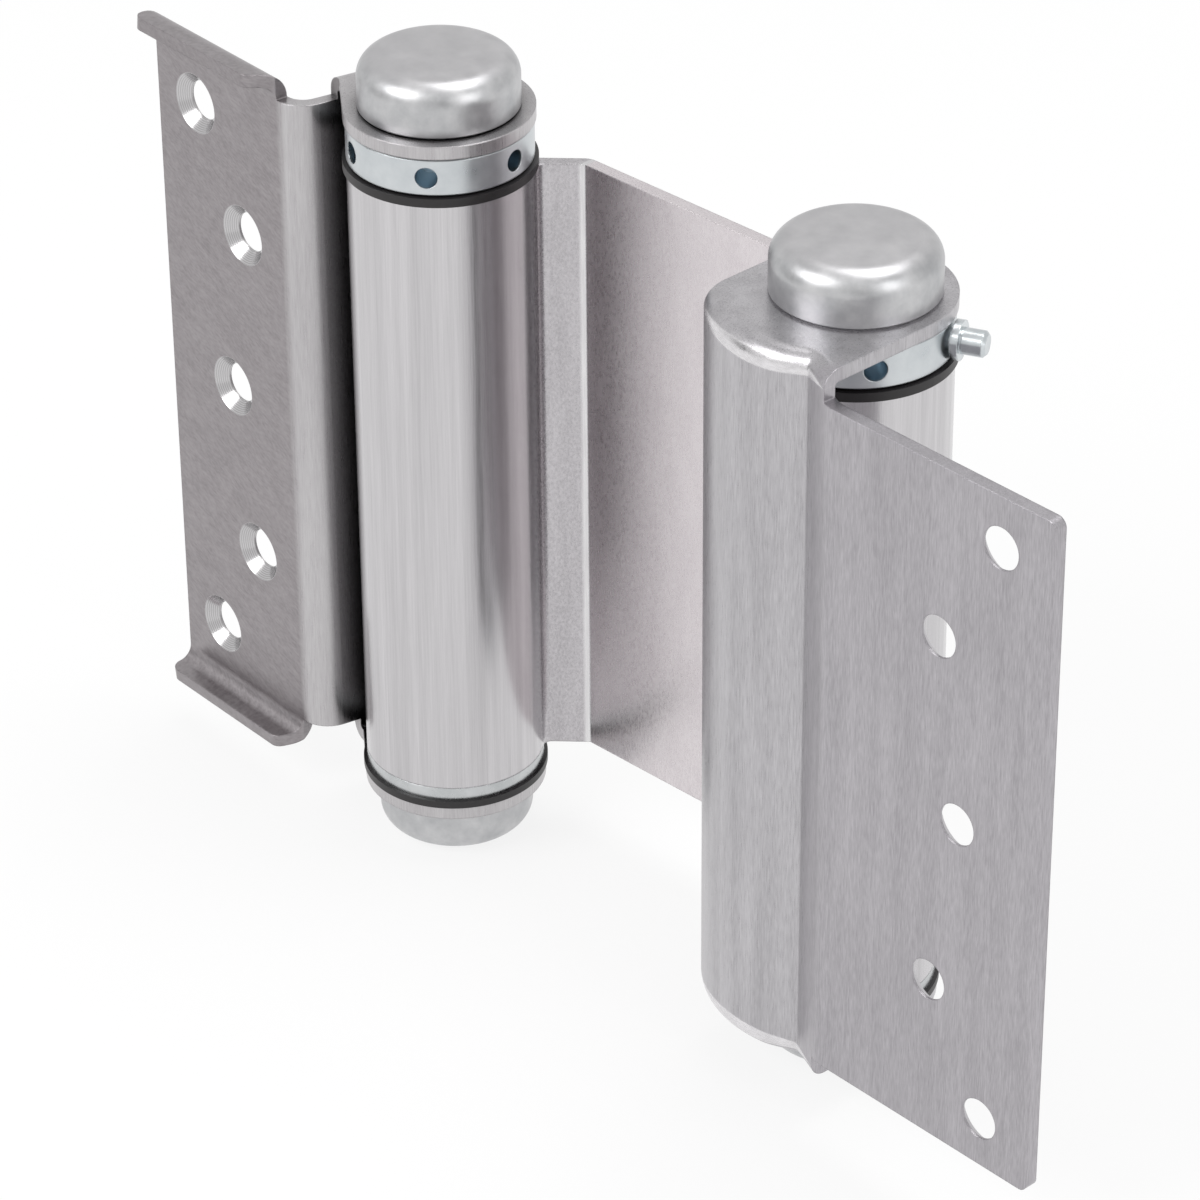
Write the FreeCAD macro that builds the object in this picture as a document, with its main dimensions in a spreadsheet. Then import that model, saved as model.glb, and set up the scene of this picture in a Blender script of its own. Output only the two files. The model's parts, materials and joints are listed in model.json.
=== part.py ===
import FreeCAD, Part
import math
import os

import Sketcher
from FreeCAD import Placement, Rotation, Vector

# Double action spring hinge: two barrels rolled from one plate, with a leaf turning on each.
# Millimetres. Z runs along the barrels, X along the frame leaf towards its barrel, and Y from
# the screw-head side of the frame leaf to the side that lies against the frame.
# The origin is midway between the outer screw holes, on the frame leaf's mounting face.

# Driving sizes. Everything else follows from these.

SIZES = [
    ("hinge_height", 125.6, "over the ears of a leaf"),
    ("gauge", 2.2, "thickness of the steel sheet"),
    ("fold_inner", 0.6, "inside radius where an ear folds off its wall"),
    ("fold_run", 0.3, "straight sheet between that fold and the widening ear"),
    ("barrel_radius", 15.0, "outside of a rolled barrel"),
    ("axis_gap", 88.3, "between the barrel axes"),
    ("seam_gap", 0.4, "open joint where a barrel closes on its own sheet"),
    ("plate_offset", 15.3, "barrel axes to the near face of the plate"),
    ("strip_angle", 42.0, "direction in which the plate leaves a barrel"),
    ("plate_bend", 0.5, "inside radius between plate and strip"),
    ("root_bend", 1.5, "rounding where the strip meets the barrel"),
    ("plate_turn", 5.2, "plate against frame leaf, as the hinge stands"),
    ("door_turn", -2.8, "door leaf against plate, as the hinge stands"),
    ("collar_height", 6.5, "tension collar"),
    ("collar_edge", 0.35, "bevel on the collar's edges"),
    ("upper_washer", 1.5, "thickness of the washer under the collar"),
    ("lower_washer", 1.3, "thickness of the washer under the barrel"),
    ("washer_proud", 0.6, "washer standing out past the barrel"),
    ("ring_height", 2.3, "rim of the barrel's end ring"),
    ("running_gap", 0.1, "end play between parts that turn on each other"),
    ("plug_length", 8.0, "collar or end ring reaching into the barrel"),
    ("plug_gap", 0.3, "round the plug, inside the barrel"),
    ("shaft_radius", 5.0, "spindle"),
    ("shaft_gap", 0.05, "round the spindle, in its holes"),
    ("cap_radius", 13.0, "domed cap"),
    ("cap_height", 9.2, "ear to the top of a cap"),
    ("cap_dome", 120.0, "crown radius of a cap"),
    ("cap_shoulder", 3.7, "rounding of a cap's edge"),
    ("cap_rim", 0.4, "bevel at the foot of a cap"),
    ("cap_seat", 5.0, "spindle reaching into a cap"),
    ("spring_wall", 3.0, "wire of the torsion spring"),
    ("spring_gap", 0.8, "spring to the inside of the barrel"),
    ("spring_play", 1.0, "free end of the spring to the collar's plug"),
    ("ear_radius", 15.3, "round end of an ear"),
    ("bar_holes", 6, "tommy bar holes round a collar"),
    ("bar_hole_radius", 1.8, "tommy bar hole"),
    ("bar_hole_depth", 5.5, "tommy bar hole"),
    ("frame_collar_turn", -47.1, "first hole of the collar over the frame leaf"),
    ("door_collar_turn", -33.3, "first hole of the collar over the door leaf"),
    ("pin_gap", 0.06, "tension pin in its hole"),
    ("pin_stand", 0.45, "collar to the flange of the tension pin"),
    ("pin_flange_radius", 3.1, "flange of the tension pin"),
    ("pin_flange", 1.2, "thickness of that flange"),
    ("pin_grip_radius", 2.05, "grip of the tension pin"),
    ("pin_grip", 3.85, "length of that grip"),
    ("pin_edge", 0.5, "bevel at the end of the grip"),
    ("hole_radius", 3.4, "screw hole"),
    ("sink_radius", 5.2, "countersink where it opens on the leaf"),
    ("outer_end", 12.8, "end of the hinge to the outer screw holes"),
    ("inner_end", 32.55, "end of the hinge to the inner screw holes"),
    ("outer_edge", 10.1, "free edge to the outer screw holes"),
    ("middle_edge", 16.7, "free edge to the middle screw hole"),
    ("inner_edge", 21.5, "free edge to the inner screw holes"),
    ("frame_offset", 14.0, "barrel axis to the screw-head face of the frame leaf"),
    ("frame_reach", 56.6, "barrel axis to the free edge of the frame leaf"),
    ("lip_step", 3.9, "end of the hinge to the root of a lip"),
    ("frame_bend", 3.2, "inside radius of the bend between leaf and wall"),
    ("wall_offset", 16.9, "barrel axis to the wall beside it"),
    ("wall_lean", 10.1, "lean of that wall towards the barrel"),
    ("wall_half", 6.5, "half the length of the wall's fold"),
    ("lip_flare", 85.0, "turn of a lip out of the flat"),
    ("lip_bend", 2.5, "inside radius of a lip's bend"),
    ("lip_length", 2.3, "straight part of a lip"),
    ("lip_root", 32.4, "length of a lip at its bend"),
    ("lip_tip", 30.1, "length of a lip at its outer edge"),
    ("lip_corner", 2.0, "rounding of a lip's outer corner"),
    ("door_set", 0.05, "plain face of the door leaf behind the front of its curved wall"),
    ("door_reach", 61.4, "barrel axis to the free edge of the door leaf"),
    ("door_step", 4.45, "end of the hinge to the end of the door leaf's flat"),
    ("ear_step", 0.46, "sloping sheet between a door ear and the bend into the flat"),
    ("door_corner", 1.6, "rounded corners of the door leaf"),
    ("shell_radius", 22.35, "outside of the curved wall round the door leaf's barrel"),
    ("shell_end", 13.0, "turn of that wall past its lowest line"),
    ("shell_bend", 8.0, "easing between the curved wall and the valley"),
    ("valley_run", 5.2, "sloping sheet between the curved wall and the valley"),
    ("valley_in", 24.4, "slope of that sheet"),
    ("valley_out", 21.0, "slope of the sheet from the valley to the flat"),
    ("valley_bend", 1.4, "inside radius of the valley"),
    ("rise_bend", 3.0, "inside radius where the slope meets the flat"),
]

# Sizes worked out from them, in millimetres, or as plain sines and tangents

DERIVED = [
    ("half_height", "hinge_height / 2"),
    ("ear_low", "gauge - half_height"),
    ("washer_low", "ear_low + running_gap"),
    ("ring_low", "washer_low + lower_washer"),
    ("tube_low", "ring_low + ring_height"),
    ("ear_high", "half_height - gauge"),
    ("collar_high", "ear_high - running_gap"),
    ("collar_low", "collar_high - collar_height"),
    ("tube_high", "collar_low - running_gap - upper_washer"),
    ("tube_height", "tube_high - tube_low"),
    ("bore_radius", "barrel_radius - gauge"),
    ("plug_radius", "bore_radius - plug_gap"),
    ("washer_radius", "barrel_radius + washer_proud"),
    ("shaft_hole", "shaft_radius + shaft_gap"),
    ("shaft_clear", "shaft_radius + plug_gap"),
    ("spring_radius", "bore_radius - spring_gap"),
    ("spring_low", "tube_low + plug_length"),
    ("spring_height", "collar_low - plug_length - spring_play - spring_low"),
    ("fold_outer", "fold_inner + gauge"),
    ("bar_level", "(collar_low + collar_high) / 2"),
    ("bar_floor", "barrel_radius - bar_hole_depth"),
    ("bar_step", "360 / round(bar_holes)"),
    ("pin_radius", "bar_hole_radius - pin_gap"),
    ("pin_flange_start", "barrel_radius + pin_stand"),
    ("pin_flange_end", "pin_flange_start + pin_flange"),
    ("pin_end", "pin_flange_end + pin_grip"),
    ("strip_cos", "cos(strip_angle * 1deg)"),
    ("strip_sin", "sin(strip_angle * 1deg)"),
    ("strip_x", "plate_offset * strip_cos / strip_sin"),
    ("strip_mitre", "gauge * tan(strip_angle * 0.5deg)"),
    ("lean_cos", "cos(wall_lean * 1deg)"),
    ("lean_sin", "sin(wall_lean * 1deg)"),
    ("frame_back", "frame_offset - gauge"),
    ("wall_back", "wall_offset + gauge / lean_cos"),
    ("flare_cos", "cos(lip_flare * 1deg)"),
    ("flare_sin", "sin(lip_flare * 1deg)"),
    ("outer_pitch", "hinge_height - 2 * outer_end"),
    ("inner_pitch", "hinge_height - 2 * inner_end"),
    ("frame_flat", "hinge_height - 2 * lip_step"),
    ("lip_level", "frame_flat / 2"),
    ("lip_axis", "-frame_offset - lip_bend"),
    ("door_flat", "hinge_height - 2 * door_step"),
    ("door_offset", "shell_radius - door_set"),
    ("door_back", "door_offset - gauge"),
    ("shell_mid", "shell_radius - gauge / 2"),
    ("shell_back", "shell_radius - gauge"),
    ("end_sin", "sin(shell_end * 1deg)"),
    ("end_cos", "cos(shell_end * 1deg)"),
    ("valley_x", "shell_radius * end_sin + valley_run * cos(valley_in * 1deg)"),
    ("valley_y", "valley_run * sin(valley_in * 1deg) - shell_radius * end_cos"),
    ("valley_mitre", "gauge / cos((valley_in + valley_out) * 0.5deg)"),
    ("mitre_x", "valley_mitre * sin((valley_out - valley_in) * 0.5deg)"),
    ("mitre_y", "valley_mitre * cos((valley_out - valley_in) * 0.5deg)"),
    ("out_tan", "tan(valley_out * 1deg)"),
    ("rise_x", "valley_x + (valley_y + door_offset) / out_tan"),
    ("rise_mitre", "gauge * tan(valley_out * 0.5deg)"),
    ("rise_tangent", "(rise_bend + gauge) * tan(valley_out * 0.5deg)"),
    ("shoulder_x", "rise_x - rise_tangent - ear_step"),
    ("slope_y", "valley_y + mitre_y / 2 - (shoulder_x - valley_x - mitre_x / 2) * out_tan"),
    ("axis_x", "frame_reach - outer_edge"),
    ("axis_y", "frame_back"),
    ("door_axis_x", "axis_x + axis_gap * cos(plate_turn * 1deg)"),
    ("door_axis_y", "axis_y + axis_gap * sin(plate_turn * 1deg)"),
    ("door_angle", "plate_turn + door_turn"),
]

doc = FreeCAD.newDocument("double_action_hinge")
sizes = doc.addObject("Spreadsheet::Sheet", "sizes")


def fill_sheet():
    row = 1
    for name, value, note in SIZES:
        sizes.set("A%d" % row, name)
        sizes.set("B%d" % row, str(value))
        sizes.set("C%d" % row, note)
        sizes.setAlias("B%d" % row, name)
        row += 1
    for name, formula in DERIVED:
        sizes.set("A%d" % row, name)
        sizes.setAlias("B%d" % row, name)
        sizes.set("B%d" % row, "=" + formula)
        row += 1
    doc.recompute()


def worked(formula):
    # the number that a formula over the sheet's cells gives
    return float(sizes.evalExpression(formula))


# Where a sub-part belongs: its own axes stand on a barrel axis and turn with a leaf or the plate

SITES = {
    "frame": ("sizes.axis_x", "sizes.axis_y", "0"),
    "plate": ("sizes.axis_x", "sizes.axis_y", "sizes.plate_turn"),
    "plate_end": ("sizes.door_axis_x", "sizes.door_axis_y", "sizes.plate_turn"),
    "door": ("sizes.door_axis_x", "sizes.door_axis_y", "sizes.door_angle"),
}


def new_body(label, site, turn="0"):
    body = doc.addObject("PartDesign::Body", label)
    body.Label = label
    place_x, place_y, place_turn = SITES[site]
    body.Placement = Placement(Vector(0, 0, 0), Rotation(Vector(0, 0, 1), 1))
    body.setExpression("Placement.Base.x", place_x)
    body.setExpression("Placement.Base.y", place_y)
    body.setExpression("Placement.Rotation.Angle", "(%s + %s) * 1deg" % (place_turn, turn))
    return body


# Sketches


def origin_item(body, role):
    return [item for item in body.Origin.OriginFeatures if item.Role == role][0]


def new_sketch(body, name, role, level=None, shift=None):
    # on one of the body's own planes, moved along its normal or along the sketch's own y
    sketch = body.newObject("Sketcher::SketchObject", name)
    sketch.AttachmentSupport = [(origin_item(body, role), "")]
    sketch.MapMode = "FlatFace"
    if level:
        sketch.setExpression("AttachmentOffset.Base.z", level)
    if shift:
        sketch.setExpression("AttachmentOffset.Base.y", shift)
    return sketch


def bind(sketch, constraint, name, formula):
    index = sketch.addConstraint(constraint)
    sketch.renameConstraint(index, name)
    sketch.setExpression("Constraints." + name, formula)


def hold_point(sketch, item, point, name, x, y):
    # a point kept at its place; a coordinate given as None is left to the other constraints
    for axis, kind, formula in ((-2, "DistanceX", x), (-1, "DistanceY", y)):
        if formula is None:
            continue
        value = worked(formula)
        if formula == "0":
            sketch.addConstraint(Sketcher.Constraint("PointOnObject", item, point, axis))
        else:
            bind(sketch, Sketcher.Constraint(kind, item, point, value), name + kind[-1], formula)


def outline(sketch, corners, arcs=None, free=None):
    # closed outline: straight from corner to corner, but round a centre where arcs names one.
    # arcs: {corner: (radius, centre x, centre y, clockwise)}; free: {corner: "x" or "y"}
    arcs = arcs or {}
    free = free or {}
    points = [Vector(worked(x), worked(y), 0) for x, y in corners]
    count = len(points)
    for i in range(count):
        start = points[i]
        end = points[(i + 1) % count]
        if i in arcs:
            radius, centre_x, centre_y, clockwise = arcs[i]
            centre = Vector(worked(centre_x), worked(centre_y), 0)
            sketch.addGeometry(arc_about(centre, worked(radius), start, end, clockwise))
        else:
            sketch.addGeometry(Part.LineSegment(start, end))
    ends = [end_numbers(sketch, i, points[i]) for i in range(count)]
    for i in range(count):
        following = (i + 1) % count
        sketch.addConstraint(
            Sketcher.Constraint("Coincident", i, ends[i][1], following, ends[following][0]))
    for i, (x, y) in enumerate(corners):
        loose = free.get(i, "")
        kept_x = None if "x" in loose else x
        kept_y = None if "y" in loose else y
        hold_point(sketch, i, ends[i][0], "corner%d" % i, kept_x, kept_y)
    for i, (radius, centre_x, centre_y, clockwise) in arcs.items():
        hold_point(sketch, i, 3, "centre%d" % i, centre_x, centre_y)
        bind(sketch, Sketcher.Constraint("Radius", i, worked(radius)), "radius%d" % i, radius)


def arc_about(centre, radius, start, end, clockwise):
    # an arc is drawn anticlockwise, so a clockwise run is drawn from its end
    if clockwise:
        start, end = end, start
    first = math.atan2(start.y - centre.y, start.x - centre.x)
    last = math.atan2(end.y - centre.y, end.x - centre.x)
    if last < first:
        last += 2 * math.pi
    return Part.ArcOfCircle(Part.Circle(centre, Vector(0, 0, 1), radius), first, last)


def end_numbers(sketch, item, start):
    # an arc counts its ends anticlockwise, so it may begin with its second
    geometry = sketch.Geometry[item]
    if (geometry.StartPoint - start).Length < (geometry.EndPoint - start).Length:
        return 1, 2
    return 2, 1


def circle(sketch, name, radius, x="0", y="0"):
    centre = Vector(worked(x), worked(y), 0)
    item = sketch.addGeometry(Part.Circle(centre, Vector(0, 0, 1), worked(radius)))
    hold_point(sketch, item, 3, name, x, y)
    bind(sketch, Sketcher.Constraint("Radius", item, worked(radius)), name + "Radius", radius)


# Solids


def new_pad(body, name, sketch, length, centred=False):
    pad = body.newObject("PartDesign::Pad", name)
    pad.Profile = sketch
    if centred:
        pad.SideType = "Symmetric"
    pad.setExpression("Length", length)
    doc.recompute()
    return pad


def new_pocket(body, name, sketch, length=None, centred=False, backwards=False):
    before = body.Shape.Volume
    pocket = body.newObject("PartDesign::Pocket", name)
    pocket.Profile = sketch
    pocket.Reversed = backwards
    if centred:
        pocket.SideType = "Symmetric"
    if length:
        pocket.setExpression("Length", length)
    else:
        pocket.Type = "ThroughAll"
    doc.recompute()
    need_less(body, before, name)
    return pocket


def need_less(body, before, name):
    if body.Shape.Volume > before - 0.01:
        raise RuntimeError(name + " cuts nothing")


def revolve(body, name, sketch, axis="V_Axis"):
    turned = body.newObject("PartDesign::Revolution", name)
    turned.Profile = sketch
    turned.ReferenceAxis = (sketch, [axis])
    turned.Angle = 360
    doc.recompute()
    return turned


def mirror_down(body, features):
    mirror = body.newObject("PartDesign::Mirrored", "lower_half")
    mirror.Originals = features
    mirror.MirrorPlane = (origin_item(body, "XY_Plane"), [""])
    body.Tip = mirror
    doc.recompute()


def dress(body, kind, name, wanted, amount):
    # fillet or chamfer of every edge that passes the test
    base = body.Tip
    edges = [
        "Edge%d" % (i + 1) for i, edge in enumerate(base.Shape.Edges)
        if not edge.Degenerated and wanted(edge)]
    if not edges:
        raise RuntimeError(name + " finds no edge")
    feature = body.newObject("PartDesign::" + kind, name)
    feature.Base = (base, edges)
    feature.setExpression("Radius" if kind == "Fillet" else "Size", amount)
    doc.recompute()


def middle_of(edge):
    first, last = edge.ParameterRange
    return edge.valueAt((first + last) / 2)


def upright_at(*places):
    # edges parallel to the barrels, standing at one of the places
    spots = [(worked(x), worked(y)) for x, y in places]

    def wanted(edge):
        if edge.Curve.TypeId != "Part::GeomLine":
            return False
        if abs(edge.tangentAt(edge.FirstParameter).z) < 0.999:
            return False
        point = middle_of(edge)
        return any(math.hypot(point.x - x, point.y - y) < 0.05 for x, y in spots)

    return wanted


def ring_at(radius, level):
    # circles of one radius at one level
    wanted_radius = worked(radius)
    wanted_level = worked(level)

    def wanted(edge):
        if edge.Curve.TypeId != "Part::GeomCircle":
            return False
        if abs(edge.Curve.Radius - wanted_radius) > 0.01:
            return False
        return abs(edge.Curve.Center.z - wanted_level) < 0.01

    return wanted


def level_near(level, x, y):
    # edges at one level, top and bottom, whose middle lies at x and y
    wanted_level = worked(level)
    spot = Vector(worked(x), worked(y), 0)

    def wanted(edge):
        point = middle_of(edge)
        if edge.BoundBox.ZLength > 0.001 or abs(abs(point.z) - wanted_level) > 0.01:
            return False
        return math.hypot(point.x - spot.x, point.y - spot.y) < 0.1

    return wanted


def short_at_level(level):
    # edges through the thickness of the sheet whose middle is at one level, top and bottom
    wanted_level = worked(level)
    longest = worked("2 * sizes.gauge")

    def wanted(edge):
        if edge.Length > longest:
            return False
        return abs(abs(middle_of(edge).z) - wanted_level) < 0.05

    return wanted


def level_beyond(level, limit):
    # edges lying at a level, top or bottom, outside the barrel on the wall's side,
    # without the ear's sides, which run straight along Y
    wanted_level = worked(level)
    wanted_limit = worked(limit)

    def wanted(edge):
        box = edge.BoundBox
        if box.ZLength > 0.001 or box.XLength < 0.001:
            return False
        if abs(abs(box.ZMax) - wanted_level) > 0.001:
            return False
        return middle_of(edge).y < wanted_limit

    return wanted


# Both leaves have the same five countersunk holes: an outer pair, an inner pair and one between


def screw_holes(body, reach, level, far_side):
    sketch = new_sketch(body, "screw_places", "XZ_Plane", level)
    outer = "%s.outer_edge)" % reach
    middle = "%s.middle_edge)" % reach
    inner = "%s.inner_edge)" % reach
    circle(sketch, "first", "sizes.hole_radius", outer, "sizes.outer_pitch / 2")
    circle(sketch, "second", "sizes.hole_radius", inner, "sizes.inner_pitch / 2")
    circle(sketch, "third", "sizes.hole_radius", middle, "0")
    circle(sketch, "fourth", "sizes.hole_radius", inner, "-sizes.inner_pitch / 2")
    circle(sketch, "fifth", "sizes.hole_radius", outer, "-sizes.outer_pitch / 2")
    doc.recompute()
    before = body.Shape.Volume
    holes = body.newObject("PartDesign::Hole", "screw_holes")
    holes.Profile = sketch
    doc.recompute()
    holes.ThreadType = "None"
    holes.DepthType = "ThroughAll"
    holes.setExpression("Diameter", "2 * sizes.hole_radius")
    holes.HoleCutType = "Countersink"
    holes.HoleCutCustomValues = True
    holes.setExpression("HoleCutDiameter", "2 * sizes.sink_radius")
    holes.HoleCutCountersinkAngle = 90
    holes.Reversed = far_side
    doc.recompute()
    need_less(body, before, "screw_holes")


def shaft_bore(body):
    sketch = new_sketch(body, "shaft_place", "XY_Plane")
    circle(sketch, "shaft", "sizes.shaft_hole")
    new_pocket(body, "shaft_bore", sketch, "sizes.hinge_height + sizes.gauge", centred=True)


# Frame leaf: flat with two flared lips, a bend, a short wall and an ear folded off each end of it


def frame_leaf():
    body = new_body("frame_leaf", "frame")

    # the two ends of the fold, on the wall's face beside the barrel
    near_x = "sizes.wall_half * sizes.lean_sin - sizes.wall_offset"
    near_y = "sizes.wall_half * sizes.lean_cos"
    low_x = "-sizes.wall_half * sizes.lean_sin - sizes.wall_offset"
    low_y = "-sizes.wall_half * sizes.lean_cos"

    sketch = new_sketch(body, "leaf_section", "XY_Plane")
    bend_x = "-sizes.frame_offset * sizes.lean_sin / sizes.lean_cos - sizes.wall_offset"
    back_x = "-sizes.frame_back * sizes.lean_sin / sizes.lean_cos - sizes.wall_back"
    outline(sketch, [
        ("-sizes.frame_reach", "-sizes.frame_offset"),
        (bend_x, "-sizes.frame_offset"),
        (near_x, near_y),
        inward(near_x, near_y, "-sizes.gauge"),
        (back_x, "-sizes.frame_back"),
        ("-sizes.frame_reach", "-sizes.frame_back"),
    ])
    new_pad(body, "leaf_sheet", sketch, "sizes.frame_flat", centred=True)
    outer_bend = upright_at((bend_x, "-sizes.frame_offset"))
    dress(body, "Fillet", "outer_bend", outer_bend, "sizes.frame_bend + sizes.gauge")
    inner_bend = upright_at((back_x, "-sizes.frame_back"))
    dress(body, "Fillet", "inner_bend", inner_bend, "sizes.frame_bend")

    # over the fold the wall runs the full height and turns in at both ends
    high_in = inward(near_x, near_y, "(sizes.fold_inner + sizes.fold_run)")
    low_in = inward(low_x, low_y, "(sizes.fold_inner + sizes.fold_run)")
    sketch = new_sketch(body, "fold_section", "XY_Plane")
    outline(sketch, [
        low_in, high_in, inward(near_x, near_y, "-sizes.gauge"), inward(low_x, low_y, "-sizes.gauge")
    ])
    new_pad(body, "fold_block", sketch, "sizes.hinge_height", centred=True)
    sketch = new_sketch(body, "fold_room", "XY_Plane")
    outline(sketch, [
        (low_x, low_y),
        inward(low_x, low_y, "sizes.barrel_radius"),
        inward(near_x, near_y, "sizes.barrel_radius"),
        (near_x, near_y),
    ])
    new_pocket(body, "fold_room_cut", sketch, "2 * sizes.ear_high", centred=True)
    dress(body, "Fillet", "fold_outside", level_near(
        "sizes.half_height", "-sizes.wall_offset - sizes.gauge * sizes.lean_cos",
        "sizes.gauge * sizes.lean_sin"), "sizes.fold_outer")
    dress(body, "Fillet", "fold_inside", level_near(
        "sizes.ear_high", "-sizes.wall_offset", "0"), "sizes.fold_inner")

    sketch = new_sketch(body, "ear_outline", "XY_Plane", "sizes.ear_high")
    ear_outline(sketch, low_in, high_in)
    ear = new_pad(body, "upper_ear", sketch, "sizes.gauge")

    # the lip bends out to the screw-head side, so that it stands in front of the flat
    sketch = new_sketch(body, "lip_section", "YZ_Plane", "-sizes.frame_reach")
    root = "sizes.lip_level - sizes.gauge"
    turn_y = "sizes.lip_axis + sizes.lip_bend * sizes.flare_cos"
    turn_z = "sizes.lip_level + sizes.lip_bend * sizes.flare_sin"
    tip_y = turn_y + " - sizes.lip_length * sizes.flare_sin"
    tip_z = turn_z + " + sizes.lip_length * sizes.flare_cos"
    outline(sketch, [
        ("-sizes.frame_offset", root),
        ("-sizes.frame_offset", "sizes.lip_level"),
        (turn_y, turn_z),
        (tip_y, tip_z),
        (tip_y + " + sizes.gauge * sizes.flare_cos", tip_z + " + sizes.gauge * sizes.flare_sin"),
        (turn_y + " + sizes.gauge * sizes.flare_cos", turn_z + " + sizes.gauge * sizes.flare_sin"),
        ("-sizes.frame_back", "sizes.lip_level"),
        ("-sizes.frame_back", root),
    ], arcs={
        1: ("sizes.lip_bend", "sizes.lip_axis", "sizes.lip_level", False),
        5: ("sizes.lip_bend + sizes.gauge", "sizes.lip_axis", "sizes.lip_level", True),
    }, free={1: "x", 2: "y", 5: "y", 6: "x"})
    lip = new_pad(body, "upper_lip", sketch, "sizes.lip_root")

    # seen from above, its end towards the barrel is cut on a slant
    sketch = new_sketch(body, "lip_slant", "XY_Plane", "sizes.lip_level")
    root_x = "sizes.lip_root - sizes.frame_reach"
    beyond = "2 * (%s) + sizes.frame_offset" % tip_y
    outline(sketch, [
        ("2 * sizes.lip_tip - sizes.lip_root - sizes.frame_reach", beyond),
        (root_x + " + sizes.gauge", beyond),
        (root_x + " + sizes.gauge", "-sizes.frame_offset"),
        (root_x, "-sizes.frame_offset"),
    ])
    slant = new_pocket(body, "lip_slant_cut", sketch, backwards=True)
    mirror_down(body, [ear, lip, slant])
    tip_middle = tip_z + " + sizes.gauge / 2 * sizes.flare_sin"
    dress(body, "Fillet", "lip_corners", short_at_level(tip_middle), "sizes.lip_corner")

    shaft_bore(body)
    screw_holes(body, "-(sizes.frame_reach - sizes", "sizes.frame_offset", False)


def inward(x, y, distance):
    # from a point of the wall's face, straight towards the barrel
    return "%s + %s * sizes.lean_cos" % (x, distance), "%s - %s * sizes.lean_sin" % (y, distance)


def ear_outline(sketch, low, high):
    # sides run from both ends of the fold, tangent to the round end
    low_point = Vector(worked(low[0]), worked(low[1]), 0)
    high_point = Vector(worked(high[0]), worked(high[1]), 0)
    radius = worked("sizes.ear_radius")
    start = -math.radians(110)
    end = math.radians(110)
    low_touch = Vector(math.cos(start), math.sin(start), 0) * radius
    high_touch = Vector(math.cos(end), math.sin(end), 0) * radius
    side = sketch.addGeometry(Part.LineSegment(low_point, low_touch))
    round_end = sketch.addGeometry(Part.Arc(low_touch, Vector(radius, 0, 0), high_touch))
    other = sketch.addGeometry(Part.LineSegment(high_touch, high_point))
    fold = sketch.addGeometry(Part.LineSegment(high_point, low_point))
    sketch.addConstraint(Sketcher.Constraint("Coincident", other, 2, fold, 1))
    sketch.addConstraint(Sketcher.Constraint("Coincident", fold, 2, side, 1))
    sketch.addConstraint(Sketcher.Constraint("Tangent", side, 2, round_end, 1))
    sketch.addConstraint(Sketcher.Constraint("Tangent", round_end, 2, other, 1))
    hold_point(sketch, round_end, 3, "centre", "0", "0")
    hold_point(sketch, side, 1, "low", low[0], low[1])
    hold_point(sketch, fold, 1, "high", high[0], high[1])
    bind(sketch, Sketcher.Constraint("Radius", round_end, radius), "round", "sizes.ear_radius")


# Door leaf: flat, a shallow valley, and a curved wall that shields the barrel between its ears


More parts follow.
